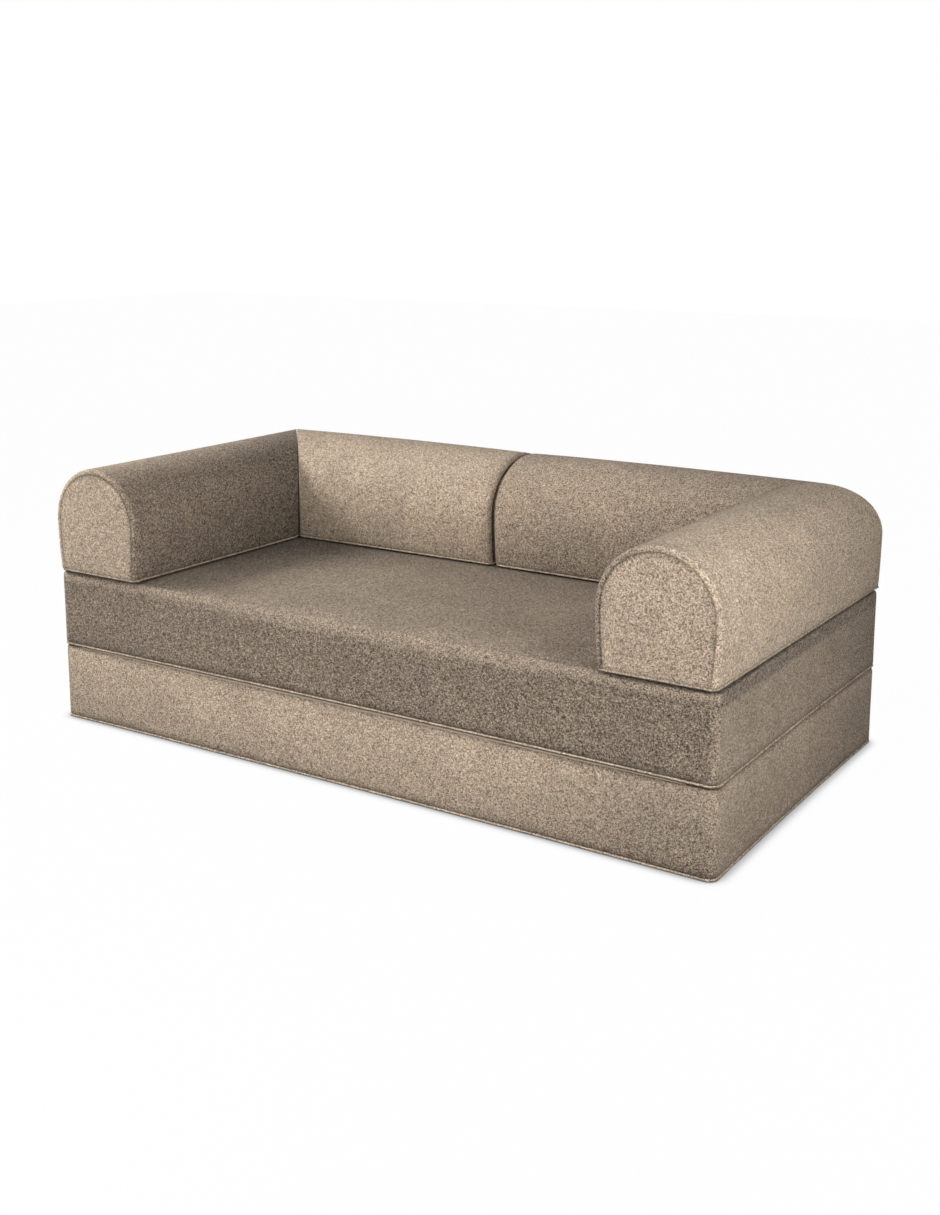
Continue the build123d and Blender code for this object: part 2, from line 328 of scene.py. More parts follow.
def pointOut(bm):
    bmesh.ops.recalc_face_normals(bm, faces=bm.faces)
    highest = max(bm.faces, key=lambda face: face.calc_center_median().z)
    if highest.normal.z < 0:
        bmesh.ops.reverse_faces(bm, faces=bm.faces)


# Cuts away the faces whose middles pass
def cutFaces(bm, passes):
    cut = [face for face in bm.faces if passes(face.calc_center_median())]
    bmesh.ops.delete(bm, geom=cut, context="FACES")


# A row of edges is drawn out into the next ring of the cloth, whose points then go to their places
def nextRing(bm, edges, placeFor):
    made = bmesh.ops.extrude_edge_only(bm, edges=edges)["geom"]
    verts = {vert for vert in made if isinstance(vert, bmesh.types.BMVert)}
    for vert in verts:
        vert.co = placeFor(vert)
    return [edge for edge in made if isinstance(edge, bmesh.types.BMEdge)
            and edge.verts[0] in verts and edge.verts[1] in verts]


bottomRise = 0.0066   # a cover starts over its welt

slab = {
    "cell": 0.0125,
    "cornerRadius": 0.024,
    "cornerCells": 3,
    "frontHollow": 0.008,
    "sideHollow": 0.004,
    "crown": 0.007,
    "edgeRadius": {"base": 0.008, "seat": 0.014},
    "edgeRings": {"base": 3, "seat": 4},
    # Painted shade round a slab's top edge where a block lies over it
    "paintedEdgeShades": {"base": (0.9, 0.75, 0.35), "seat": (0.6, 0.35, 0.1)},
    # Painted shade just over a slab cover's foot and along it
    "paintedFootShades": (0.25, 0.65),
    "squareness": {"base": 0.0, "seat": 3.0},
    "zipHeight": 0.045,
    "zipSlit": 0.007,
    "slitTurn": 0.0028,
    "zipLength": 1.54,
    "swell": 0.0035,
    "leastSwell": 0.0001,
    "coveredSwell": 0.0003,
    "topLevel": {"base": 0.1985, "seat": 0.39},
    "hem": 0.004,
    "hemDrop": 0.0004,
}

bolster = {
    "cell": 0.009,
    "baseDraw": {"end": 0.009, "mitre": 0.0025},
    "roundHeight": 0.144,
    "rollRadius": 0.011,
    "rollRings": 5,
    "rollInset": 0.0105,
    "seamInset": 0.0164,
    "grooveInset": 0.0142,
    "grooveDepth": 0.0019,
    "lipInset": 0.0121,
    "lipDepth": 0.0005,
    # Painted shade on an end's edge, groove and lip, and over a back's flat end in the gap between
    # the backs; painted highlight along an arm's roll and painted shade along a back's
    "seamShades": {
        "arm": {"edge": 0.3, "groove": 0.7, "lip": 0.3, "roll": -0.2},
        "back": {"edge": 1.0, "groove": 1.0, "lip": 0.9, "roll": 0.3},
    },
    "swell": 0.0035,
    "endSwell": {"arm": 0.0035, "back": 0.0015},
    "middleGap": 0.011,
    "mitreGap": 0.001,
    "mitreCrown": {"arm": -0.0023, "back": 0.0021},
    "mitreRoll": 0.0018,
    "mitreSwell": 0.0004,
    "mitreReach": 0.05,
    "cornerOpen": {"arm": 0.034, "back": 0.009},
    "openHeight": 0.17,
    "sideShare": 0.553,
    "upShare": 0.345,
    "acrossShare": 0.31,
    "endDepth": 0.0006,
    "endReach": 0.03,
    # An arm's wrap is darker on one side and lighter on the other as its pile leans, with painted
    # shade in it; painted shade darkens each wrap towards its foot, and the end panels are painted
    # lighter
    "napAndPaintedShade": {"arm": (1.0, 0.15), "back": (0.0, 0.45)},
    "endNapAndPaintedShade": -0.5,
    # Each wrap painted lighter or darker over all, and painted shade towards its mitre
    "toneShift": {
        "left_arm": (0.0, 1.5), "right_arm": (-0.4, 0.7),
        "back_left": (-0.35, 0.0), "back_right": (0.25, 1.05),
    },
    # Painted shade along each bolster cover's foot
    "paintedFootShade": 0.5,
}

blocks = ("base", "seat", "left_arm", "right_arm", "back_left", "back_right")
halfSlab = 0.95
halfDepth = 0.5
slabHeight = 0.2
armWidth = 0.288
backWidth = 0.344
seatCrown = {"halfSpan": 0.66, "middle": -0.168, "halfDepth": 0.322}
footEase = 0.02   # how far in from a bolster's side the seat's cloth lies flat
# Painted shade on the seat where the bolsters' feet stand: how dark, how far under them and how far
# out
footCornerPaintedShade = {"shade": 0.75, "under": 0.008, "reach": 0.015}
bottomLoops = {}
print("blocks", blocks)


def clamped(value):
    return min(1.0, max(0.0, value))


# Slab covers

# A point of the slab's top grid, with the grid's corners rounded and drawn out by a length
def slabPlan(gridX, gridY, radius, gridRadius):
    innerX = halfSlab - slab["cornerRadius"]
    innerY = halfDepth - slab["cornerRadius"]
    across = max(0.0, abs(gridX) - innerX) / gridRadius
    deep = max(0.0, abs(gridY) - innerY) / gridRadius
    x = abs(gridX) if across == 0 else innerX + radius * across * math.sqrt(1 - deep * deep / 2)
    y = abs(gridY) if deep == 0 else innerY + radius * deep * math.sqrt(1 - across * across / 2)
    x *= 1 - slab["sideHollow"] / halfSlab * (1 - (y / halfDepth) ** 2)
    if gridY < 0:
        y *= 1 - slab["frontHollow"] / halfDepth * (1 - (x / halfSlab) ** 2)
    return math.copysign(x, gridX), math.copysign(y, gridY)


# How far a point of the seat lies from the bolsters' inner sides, over the open seat
def openSide(point):
    return min(halfSlab - armWidth - abs(point.x), halfDepth - backWidth - point.y)


# Painted shade darkens the seat in the corner that the bolsters' feet make with it
def paintedFootShade(away):
    return footCornerPaintedShade["shade"] * max(0.0, 1 - abs(away + footCornerPaintedShade["under"]) / footCornerPaintedShade["reach"])


# A share of half a side as a place on it, with some cells kept for each rounded corner
def gridPlace(share, count, halfSide, gridRadius):
    cornerShare = 2 * slab["cornerCells"] / count
    inner = min(abs(share), 1 - cornerShare) / (1 - cornerShare)
    past = max(0.0, abs(share) - 1 + cornerShare) / cornerShare
    return math.copysign(inner * (halfSide - gridRadius) + past * gridRadius, share)


def slabCover(kind):
    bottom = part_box(kind + "_bottom_panel")[0].z
    edge = slab["edgeRadius"][kind]
    top = bottom + slabHeight
    gridRadius = slab["cornerRadius"] - edge
    spanX, spanY = halfSlab - edge, halfDepth - edge
    bm = bmesh.new()
    gridX, gridY, hold, seam = [
        bm.verts.layers.float.new(name) for name in ("gridX", "gridY", "hold", "seam")]
    countX, countY = round(2 * spanX / slab["cell"]), round(2 * spanY / slab["cell"])
    bmesh.ops.create_grid(bm, x_segments=countX, y_segments=countY, size=1.0)
    for vert in bm.verts:
        vert[gridX] = gridPlace(vert.co.x, countX, spanX, gridRadius)
        vert[gridY] = gridPlace(vert.co.y, countY, spanY, gridRadius)
        x, y = slabPlan(vert[gridX], vert[gridY], gridRadius, gridRadius)
        rise = 0.0
        if kind == "seat":
            wide = max(0.0, 1 - (x / seatCrown["halfSpan"]) ** 2)
            deep = max(0.0, 1 - ((y - seatCrown["middle"]) / seatCrown["halfDepth"]) ** 2)
            rise = slab["crown"] * wide * deep
        vert.co = (x, y, top + rise)
        # Painted shade on the seat's top in the corner at the bolsters' feet
        if kind == "seat":
            vert[seam] = paintedFootShade(openSide(vert.co))
    edges = [edge for edge in bm.edges if edge.is_boundary]

    def ringAt(radius, level, held, shade=0.0):
        def placeFor(vert):
            vert[hold] = held
            vert[seam] = shade
            x, y = slabPlan(vert[gridX], vert[gridY], radius, gridRadius)
            return (x, y, level)
        return placeFor

    # Painted shade darkens the edge round the top where a block lies over it, and the edge is
    # squarer there than in front
    def edgeAt(turn, shade):
        def placeFor(vert):
            across = max(0.0, abs(vert[gridX]) - spanX + gridRadius) / gridRadius
            deep = max(0.0, abs(vert[gridY]) - spanY + gridRadius) / gridRadius
            front = deep * (1 - across / 2) if vert[gridY] < 0 else 0.0
            power = 2 / (2 + slab["squareness"][kind] * (1 - front))
            radius = gridRadius + edge * math.sin(turn) ** power
            level = top - edge * (1 - max(0.0, math.cos(turn)) ** power)
            covered = kind == "base" or vert[gridY] > 0 or abs(vert[gridX]) > halfSlab - armWidth
            return ringAt(radius, level, 0.0, shade if covered else 0.0)(vert)
        return placeFor

    rings = slab["edgeRings"][kind]
    paintedEdgeShades = slab["paintedEdgeShades"][kind]
    for vert in {vert for edge in edges for vert in edge.verts}:
        vert.co = edgeAt(0.0, paintedEdgeShades[0])(vert)
    for index in range(1, rings + 1):
        shade = paintedEdgeShades[index] if index < len(paintedEdgeShades) else 0.0
        edges = nextRing(bm, edges, edgeAt(math.pi / 2 * index / rings, shade))
    slitTop = bottom + slab["zipHeight"] + slab["zipSlit"]
    slitBottom = slitTop - 2 * slab["zipSlit"]
    wallRings = round((top - edge - slitTop) / slab["cell"])
    levels = list(np.linspace(top - edge, slitTop, wallRings + 1))[1:]
    levels += list(np.linspace(slitBottom, bottom + bottomRise, 4))
    for level in levels:
        held = 1.0 if level == levels[-1] else 0.0
        # Painted shade on the ring just over the foot; the foot and the hem get more
        shade = slab["paintedFootShades"][0] if level == levels[-2] else 0.0
        edges = nextRing(bm, edges, ringAt(slab["cornerRadius"], level, held, shade))
    bottomLoops[kind] = bottomLoop(bm)
    paintShadeAlongFoot(bm, slab["paintedFootShades"][1])
    hem = slab["cornerRadius"] - slab["hem"]
    hemLevel = bottom + bottomRise - slab["hemDrop"]
    nextRing(bm, edges, ringAt(hem, hemLevel, 1.0, slab["paintedFootShades"][1]))

    # The rear wall opens for the zip, and the cloth turns in along the slit
    slitHalf = slab["zipLength"] / 2

    def inSlit(middle):
        return (abs(middle.x) < slitHalf and slitBottom < middle.z < slitTop
                and middle.y > halfDepth - slab["cell"] / 4)

    cutFaces(bm, inSlit)
    slitEdges = [edge for edge in bm.edges if edge.is_boundary
                 and edge.verts[0].co.z > bottom + 2 * bottomRise]
    for edge in slitEdges:
        for vert in edge.verts:
            vert[hold] = 1.0

    def turnIn(vert):
        vert[hold] = 1.0
        return vert.co + Vector((0, -slab["slitTurn"], 0))

    nextRing(bm, slitEdges, turnIn)
    pointOut(bm)
    return bm


# The cloth simulation keeps the marked points where they are
def holdGroup(piece):
    group = piece.vertex_groups.new(name="held")
    values = np.zeros(len(piece.data.vertices), np.float32)
    piece.data.attributes["hold"].data.foreach_get("value", values)
    for index in np.nonzero(values > 0.5)[0]:
        group.add([int(index)], 1.0, "REPLACE")


def meshPoints(mesh):
    points = np.zeros(len(mesh.vertices) * 3)
    mesh.vertices.foreach_get("co", points)
    return points.reshape(-1, 3)


def footVerts(bm):
    lowest = min(vert.co.z for vert in bm.verts)
    return {vert for vert in bm.verts if vert.co.z < lowest + 0.001}


# The bottom edge of a cover, in order, without the dips of its seams
def bottomLoop(bm):
    seam = bm.verts.layers.float.get("seam")
    foot = footVerts(bm)
    edges = [edge for edge in bm.edges if edge.is_boundary
             and all(vert in foot for vert in edge.verts)]
    neighbours = {}
    for edge in edges:
        for vert, other in (edge.verts, reversed(edge.verts)):
            neighbours.setdefault(vert, []).append(other)
    start = min(neighbours, key=lambda vert: (round(vert.co.y, 4), round(vert.co.x, 4)))
    path, before, here = [], None, start
    while not path or here is not start:
        if here[seam] == 0.0:
            path.append(here.co.copy())
        after = [vert for vert in neighbours[here] if vert is not before]
        before, here = here, after[0]
    return path


# Painted shade darkens a cover along its foot, where it is sewn to its welt
def paintShadeAlongFoot(bm, shade):
    seam = bm.verts.layers.float.get("seam")
    for vert in footVerts(bm):
        vert[seam] = max(vert[seam], shade)


# The covers are blown out against their held seams, all in one run, as far as the foam fills them
cloth = {
    "frames": 16, "giveIn": 0.0006, "slip": 0.0015, "heldSwell": 2e-4,
    "settings": {
        "quality": 4, "mass": 0.35, "tension_stiffness": 30.0, "compression_stiffness": 30.0,
        "shear_stiffness": 10.0, "bending_stiffness": 2.0, "use_pressure": True,
        "uniform_pressure_force": 4.0, "vertex_group_mass": "held",
    },
}


def fillCovers(covers):
    rest = {}
    for cover in covers:
        rest[cover.name] = meshPoints(cover.data)
        modifier = cover.modifiers.new("cloth", "CLOTH")
        for key, value in cloth["settings"].items():
            setattr(modifier.settings, key, value)
        modifier.settings.effector_weights.gravity = 0.0
        modifier.collision_settings.use_collision = False
        modifier.collision_settings.use_self_collision = False
        modifier.point_cache.frame_start = 1
        modifier.point_cache.frame_end = cloth["frames"]
    for number in range(1, cloth["frames"] + 1):
        scene.frame_set(number)
    graph = bpy.context.evaluated_depsgraph_get()
    for cover in covers:
        grown = meshPoints(cover.evaluated_get(graph).data)
        moved = grown - rest[cover.name]
        outward = np.zeros(len(moved) * 3)
        cover.data.vertices.foreach_get("normal", outward)
        outward = outward.reshape(-1, 3)
        push = np.sum(moved * outward, axis=1)
        slide = moved - outward * push[:, None]
        limit = np.zeros(len(push), np.float32)
        cover.data.attributes["swell"].data.foreach_get("value", limit)
        limit = np.maximum(limit, 1e-6)
        filled = limit * np.tanh(push / limit)
        slack = -cloth["giveIn"] * np.tanh(-push / limit)
        push = np.where(push > 0, filled, slack)
        slip = np.maximum(np.linalg.norm(slide, axis=1), 1e-9)
        slide *= (cloth["slip"] * np.tanh(slip / cloth["slip"]) / slip)[:, None]
        free = (limit > cloth["heldSwell"])[:, None]
        points = rest[cover.name] + outward * push[:, None] + slide * free
        cover.modifiers.clear()
        cover.data.vertices.foreach_set("co", points.reshape(-1))
        cover.data.update()
        print("filled", cover.name, "pushed out by up to", round(float(push.max()), 4))
    scene.frame_set(1)


# A value on each point of a cover
def setOnPoints(cover, name, valueFor):
    attribute = cover.data.attributes.new(name, "FLOAT", "POINT")
    attribute.data.foreach_set("value", [valueFor(vert.co) for vert in cover.data.vertices])


# The seat's cloth is held down where bolsters stand on it
def seatSwell(point):
    free = clamped((openSide(point) + footEase) / (2 * footEase))
    onTop = point.z > slab["topLevel"]["seat"]
    return slab["swell"] * (free if onTop else 1.0) + slab["leastSwell"]


def baseSwell(point):
    return slab["coveredSwell"] if point.z > slab["topLevel"]["base"] else slab["swell"]


# How the pile lies on the slabs, with painted shade and painted highlight in the same value: 0
# leaves the cloth its own shade, and more makes it darker
slabNapAndPaintedShade = {
    "frontLine": -0.44,
    "seat": {
        "topFrom": 0.375, "top": 1.2, "lessInOpen": 0.65, "openReach": 0.25,
        "rolledFrom": 0.386, "rolledReach": 0.004, "rolled": 0.4,
        "corner": (-0.66, 0.156), "cornerReach": 0.5, "moreInCorner": 1.5,
        "front": 1.15, "side": 0.1, "moreAtRear": 1.6,
    },
    "base": {
        "side": 0.45, "lessUpSide": 0.9, "front": 0.1, "lessUpFront": 1.2,
        "moreAtRight": 1.1, "rightFrom": 0.35, "rightReach": 0.6,
    },
}


# A slab's front counts in full up to its upright corners, and fades out round them
def frontShare(point):
    turned = (abs(point.x) - (halfSlab - slab["cornerRadius"])) / slab["cornerRadius"]
    return clamped(1.0 - turned) if point.y < slabNapAndPaintedShade["frontLine"] else 0.0


# The seat's top and front are one panel, lying against the pile of its sides and rear. Painted
# shade darkens its top towards the bolsters and most in its left rear corner, a painted highlight
# lightens its rolled front edge, and painted shade darkens its sides towards the rear.
def seatNapAndPaintedShade(point):
    pile = slabNapAndPaintedShade["seat"]
    if point.z > pile["topFrom"]:
        rolledLine = pile["rolledReach"] - halfDepth + slab["edgeRadius"]["seat"]
        if point.y < rolledLine and point.z > pile["rolledFrom"]:
            return pile["rolled"]
        away = math.hypot(point.x - pile["corner"][0], point.y - pile["corner"][1])
        corner = max(0.0, 1 - away / pile["cornerReach"])
        inOpen = clamped(openSide(point) / pile["openReach"])
        return pile["top"] - pile["lessInOpen"] * inOpen + pile["moreInCorner"] * corner
    if point.y < slabNapAndPaintedShade["frontLine"]:
        return pile["front"] * frontShare(point)
    return pile["side"] + pile["moreAtRear"] * max(0.0, point.y)


# The base's front panel is cut the other way. Painted shade darkens the base towards its bottom,
# towards the right of its front and towards the rear of its sides.
def baseNapAndPaintedShade(point):
    pile = slabNapAndPaintedShade["base"]
    up = point.z / slabHeight
    front = frontShare(point)
    right = clamped((point.x - pile["rightFrom"]) / pile["rightReach"])
    onSide = pile["side"] - pile["lessUpSide"] * up + max(0.0, point.y)
    onFront = pile["front"] - pile["lessUpFront"] * up + pile["moreAtRight"] * right
    return onSide * (1 - front) + onFront * front


covers = {}
for kind, swellFor, napAndPaintedShadeFor in (("base", baseSwell, baseNapAndPaintedShade), ("seat", seatSwell, seatNapAndPaintedShade)):
    cover = makePiece(kind + "_fabric", slabCover(kind), [fabric])
    holdGroup(cover)
    setOnPoints(cover, "swell", swellFor)
    setOnPoints(cover, "napAndPaintedShade", napAndPaintedShadeFor)
    covers[kind] = cover
print("slab covers sewn")


# Bolster covers

# A bolster's width, its length outside, how far its mitre runs along it, and its share of the gap
def bolsterSizes(kind):
    if kind == "arm":
        width, length, run = armWidth, 2 * halfDepth, backWidth
    else:
        width, length, run = backWidth, halfSlab - bolster["middleGap"] / 2, armWidth
    backOff = bolster["mitreGap"] / 2 * math.hypot(width, run) / width
    return width, length, run, backOff


# From how far across a bolster, how far along it and how high, to the sofa's frame
def bolsterPlace(kind, side, across, along, level):
    if kind == "arm":
        return Vector((side * (halfSlab - across), along - halfDepth, level))
    return Vector((side * (bolster["middleGap"] / 2 + along), halfDepth - across, level))


# D section: across from the middle and height over the underside, from shares of the panel's grid
def bolsterSection(shareAcross, shareUp, width, height, inset, atMitre=False):
    half = width / 2 - inset
    shoulder = height - bolster["roundHeight"]
    if shareUp <= bolster["sideShare"]:
        rise = bottomRise + (shoulder - bottomRise) * shareUp / bolster["sideShare"]
        draw = bolster["baseDraw"]["mitre" if atMitre else "end"] * (1 - rise / shoulder) ** 2
        return (half - draw) * shareAcross, rise
    up = (shareUp - bolster["sideShare"]) / (1 - bolster["sideShare"])
    over = bolster["roundHeight"] - inset
    across = half * shareAcross * math.sqrt(1 - up * up / 2)
    return across, shoulder + over * up * math.sqrt(1 - shareAcross * shareAcross / 2)


# The corner of a bolster's end over one point of its section, the ways on from it, along the wrap
# and over the end's face, and how far the rolled edge reaches along both. The foot of the mitre's
# inner edge is rolled wider, so the corner between arm and back opens there. An arm's mitred face
# is full and presses into the back's.
def endCorner(kind, side, sizes, vert, layers, atMitre, bottom, height):
    width, length, run, backOff = sizes
    shareAcross, shareUp = vert[layers[0]], vert[layers[1]]
    opened = 0.0
    if atMitre:
        rise = bolsterSection(shareAcross, shareUp, width, height, 0.0)[1]
        low = max(0.0, 1 - rise / bolster["openHeight"])
        opened = bolster["cornerOpen"][kind] * max(0.0, shareAcross) ** 3 * low

    def onFace(inset, depth):
        drawn = opened * width / math.hypot(width, run) if inset else 0.0
        across, rise = bolsterSection(shareAcross, shareUp, width, height, inset, atMitre)
        fromOuter = width / 2 + across - drawn * max(0.0, shareAcross)
        along = length - run * fromOuter / width - backOff - depth if atMitre else depth
        return bolsterPlace(kind, side, fromOuter, along, bottom + rise)

    corner = onFace(0.0, 0.0)
    overFace = onFace(bolster["rollInset"], 0.0) - corner
    alongWrap = (onFace(0.0, 0.001) - corner).normalized()
    roll = bolster["mitreRoll"] if atMitre else bolster["rollRadius"]
    reach = min(overFace.length, opened + roll / math.tan(alongWrap.angle(overFace) / 2))
    return onFace, corner, alongWrap, overFace.normalized(), reach


def bolsterCover(kind, side, bottom, height):
    sizes = bolsterSizes(kind)
    width, length, run = sizes[:3]
    uprights = 2 * (height - bolster["roundHeight"])
    arch = uprights + math.pi * (width / 2 + bolster["roundHeight"]) / 2
    countUp = round(arch * bolster["upShare"] / bolster["cell"])
    countAcross = round(arch * bolster["acrossShare"] / bolster["cell"])
    bm = bmesh.new()
    layers = [bm.verts.layers.float.new(name)
              for name in ("shareAcross", "shareUp", "hold", "seam", "swell", "napAndPaintedShade")]
    shareAcross, shareUp, hold, seam, swell, napAndPaintedShade = layers
    shades = bolster["seamShades"][kind]
    napAndPaintedShadeAcross, paintedShadeUp = bolster["napAndPaintedShade"][kind]

    def corner(vert, atMitre):
        return endCorner(kind, side, sizes, vert, layers, atMitre, bottom, height)

    def mark(vert, held, seamShade, fullness, wrapped=True):
        vert[hold] = 1.0 if held or vert[shareUp] < 1e-4 else 0.0
        vert[seam] = seamShade
        vert[swell] = fullness
        # The nap darkens one side of an arm's wrap and lightens the other as its pile leans, with
        # painted shade in it; painted shade darkens each wrap towards its foot and a painted
        # highlight lightens its top
        lay = napAndPaintedShadeAcross * vert[shareAcross] + paintedShadeUp * (1 - 2 * vert[shareUp])
        vert[napAndPaintedShade] = lay if wrapped else bolster["endNapAndPaintedShade"]

    def endFullness(atMitre):
        return bolster["mitreSwell"] if atMitre else bolster["endSwell"][kind]

    ends = []
    for atMitre in (False, True):
        made = bmesh.ops.create_grid(
            bm, x_segments=countAcross, y_segments=countUp, size=1.0)["verts"]
        for vert in made:
            vert[shareAcross], vert[shareUp] = vert.co.x, (vert.co.y + 1) / 2
            onArch = max(abs(vert[shareAcross]), vert[shareUp]) > 1 - 1e-4
            mark(vert, False, shades["edge"] if onArch else 0.0, endFullness(atMitre), False)
            full = (1 - vert[shareAcross] ** 4) * (1 - vert[shareUp] ** 4)
            crown = bolster["mitreCrown"][kind] * full if atMitre else 0.0
            vert.co = corner(vert, atMitre)[0](bolster["seamInset"], bolster["endDepth"] + crown)
        ends.append(set(made))
    edges = [edge for edge in bm.edges if edge.is_boundary and edge.verts[0] in ends[0]
             and not all(vert[shareUp] < 1e-4 for vert in edge.verts)]

    def grooveAt(inset, depth, atMitre, held, shade):
        def placeFor(vert):
            mark(vert, held, shade, endFullness(atMitre))
            return corner(vert, atMitre)[0](inset, depth)
        return placeFor

    def rollAt(share, atMitre):
        def placeFor(vert):
            # Painted highlight along the middle of an arm's rolled end, painted shade along a
            # back's
            between = 4 * share * (1 - share)
            shade = 0.0 if atMitre else shades["roll"] * between
            mark(vert, False, shade, endFullness(atMitre))
            point, alongWrap, overFace, reach = corner(vert, atMitre)[1:]
            start, end = point + overFace * reach, point + alongWrap * reach
            return start * (1 - share) ** 2 + point * 2 * share * (1 - share) + end * share ** 2
        return placeFor

    def wrapAt(share):
        def placeFor(vert):
            near, far = rollAt(1.0, False)(vert), rollAt(1.0, True)(vert)
            fromMitre = (far - near).length * (1 - share) / bolster["mitreReach"]
            mark(vert, False, 0.0, bolster["swell"] * min(1.0, fromMitre) + bolster["mitreSwell"])
            return near.lerp(far, share)
        return placeFor

    seamRings = (
        (bolster["grooveInset"], bolster["grooveDepth"], True, shades["groove"]),
        (bolster["lipInset"], bolster["lipDepth"], False, shades["lip"]),
    )
    rolls = [index / bolster["rollRings"] for index in range(bolster["rollRings"] + 1)]
    for inset, depth, held, shade in seamRings:
        edges = nextRing(bm, edges, grooveAt(inset, depth, False, held, shade))
    for share in rolls:
        edges = nextRing(bm, edges, rollAt(share, False))
    steps = round((length - run / 2) / bolster["cell"])
    for index in range(1, steps):
        edges = nextRing(bm, edges, wrapAt(index / steps))
    for share in reversed(rolls):
        edges = nextRing(bm, edges, rollAt(share, True))
    for inset, depth, held, shade in reversed(seamRings):
        edges = nextRing(bm, edges, grooveAt(inset, depth, True, held, shade))
    nextRing(bm, edges, grooveAt(
        bolster["seamInset"], bolster["endDepth"], True, False, shades["edge"]))
    bmesh.ops.remove_doubles(bm, verts=bm.verts, dist=0.00005)
    pointOut(bm)
    return bm


# Each bolster's wrap is painted lighter or darker over all of it, and painted shade darkens it
# towards its mitre
def paintWrapLightAndShade(cover, kind, overAll, paintedShadeTowardsMitre):
    layer = cover.data.attributes["napAndPaintedShade"].data
    for vert, point in zip(cover.data.vertices, layer):
        reach = halfDepth + vert.co.y if kind == "arm" else abs(vert.co.x) / halfSlab
        if reach > bolster["endReach"]:
            point.value += overAll + paintedShadeTowardsMitre * reach ** 2


bolsters = {
    "left_arm": ("arm", -1), "right_arm": ("arm", 1),
    "back_left": ("back", -1), "back_right": ("back", 1),
}
for name, (kind, side) in bolsters.items():
    underside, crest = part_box(name + "_bottom_panel")[0].z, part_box(name + "_cover")[1].z
    bm = bolsterCover(kind, side, underside, crest - underside)
    bottomLoops[name] = bottomLoop(bm)
    paintShadeAlongFoot(bm, bolster["paintedFootShade"])
    cover = makePiece(name + "_fabric", bm, [fabric])
    holdGroup(cover)
    paintWrapLightAndShade(cover, kind, *bolster["toneShift"][name])
    covers[name] = cover
print("bolster covers sewn")

fillCovers(list(covers.values()))
for name, cover in covers.items():
    smoothOnce(cover)
    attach(cover, name)
    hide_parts(name + "_cover")
    if name in bolsters:
        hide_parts(name + "_end_panels")
print("covers filled")


# Piped welts, sewn round the bottom edge of each cover

welt = {
    "radius": 0.003, "inset": 0.002, "rise": 0.0033, "sides": 3,
    "wander": 0.0006, "wanderScale": 21.0, "uneven": 0.16, "unevenScale": 60.0, "thinner": 0.03,
    # Painted highlight along the welt's top and painted shade along its underside
    "shades": {"paintedHighlightAbove": -0.35, "below": 0.95},
}


def weltPiece(name, loop):
    middle = sum(loop, Vector()) / len(loop)
    curve = bpy.data.curves.new(name + "_piping", "CURVE")
    curve.dimensions = "3D"
    curve.bevel_depth = welt["radius"]
    curve.bevel_resolution = welt["sides"]
    spline = curve.splines.new("POLY")
    spline.points.add(len(loop) - 1)
    spline.use_cyclic_u = True
    level = middle.z - bottomRise + welt["rise"]
    for index, point in enumerate(loop):
        along = (loop[(index + 1) % len(loop)] - loop[index - 1]).normalized()
        inward = Vector((-along.y, along.x, 0))
        if inward.dot(middle - point) < 0:
            inward.negate()
        drift = noise.noise(point * welt["wanderScale"]) * welt["wander"]
        place = point + inward * (welt["inset"] + drift)
        spline.points[index].co = (place.x, place.y, level, 1)
        fullness = welt["uneven"] * noise.noise(point * welt["unevenScale"])
        spline.points[index].radius = 1 + fullness - welt["thinner"]
    maker = addObject(name + "_maker", curve)
    mesh = builtMesh(maker)
    bpy.data.objects.remove(maker)
    mesh.materials.clear()
    # Painted highlight on the upper half of the welt, painted shade on the lower half
    seam = mesh.attributes.new("seam", "FLOAT", "POINT")
    share = np.clip((meshPoints(mesh)[:, 2] - level) / welt["radius"] + 0.5, 0.0, 1.0)
    paintedHighlightAbove, below = welt["shades"]["paintedHighlightAbove"], welt["shades"]["below"]
    seam.data.foreach_set("value", (below + (paintedHighlightAbove - below) * share).astype(np.float32))
    piece = dressPiece(name + "_piping", mesh, [weltCloth])
    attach(piece, name)
    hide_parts(name + "_bottom_welt")


for name in blocks:
    weltPiece(name, bottomLoops[name])
print("welts piped")


# Bottom panels of plain underlay, with a slit for the zip under each bolster

panel = {
    "thickness": 0.002, "inset": 0.0053, "corner": 0.0057, "cell": 0.04,
    "ripple": 0.0004, "rippleScale": 9.0, "slit": 0.0075,
}


def cutAt(bm, axis, place):
    point, facing = Vector((0, 0, 0)), Vector((0, 0, 0))
    point[axis], facing[axis] = place, 1.0
    bmesh.ops.bisect_plane(bm, geom=bm.verts[:] + bm.edges[:] + bm.faces[:],
                           plane_co=point, plane_no=facing)


def cutEvenly(bm, low, high, cell):
    for axis in (0, 1):
        count = round((high[axis] - low[axis]) / cell)
        for index in range(1, count):
            cutAt(bm, axis, low[axis] + (high[axis] - low[axis]) * index / count)


# A flat sheet with rounded corners, cut into cells where a size for them is given
def panelSheet(corners, radius, cell=None):
    bm = bmesh.new()
    verts = [bm.verts.new(corner) for corner in corners]
    bm.faces.new(verts)
    bmesh.ops.bevel(bm, geom=verts, offset=radius, affect="VERTICES", segments=6,
                    profile=0.5, material=-1)
    if cell:
        low = Vector([min(vert.co[axis] for vert in bm.verts) for axis in range(3)])
        high = Vector([max(vert.co[axis] for vert in bm.verts) for axis in range(3)])
        cutEvenly(bm, low, high, cell)
    return bm


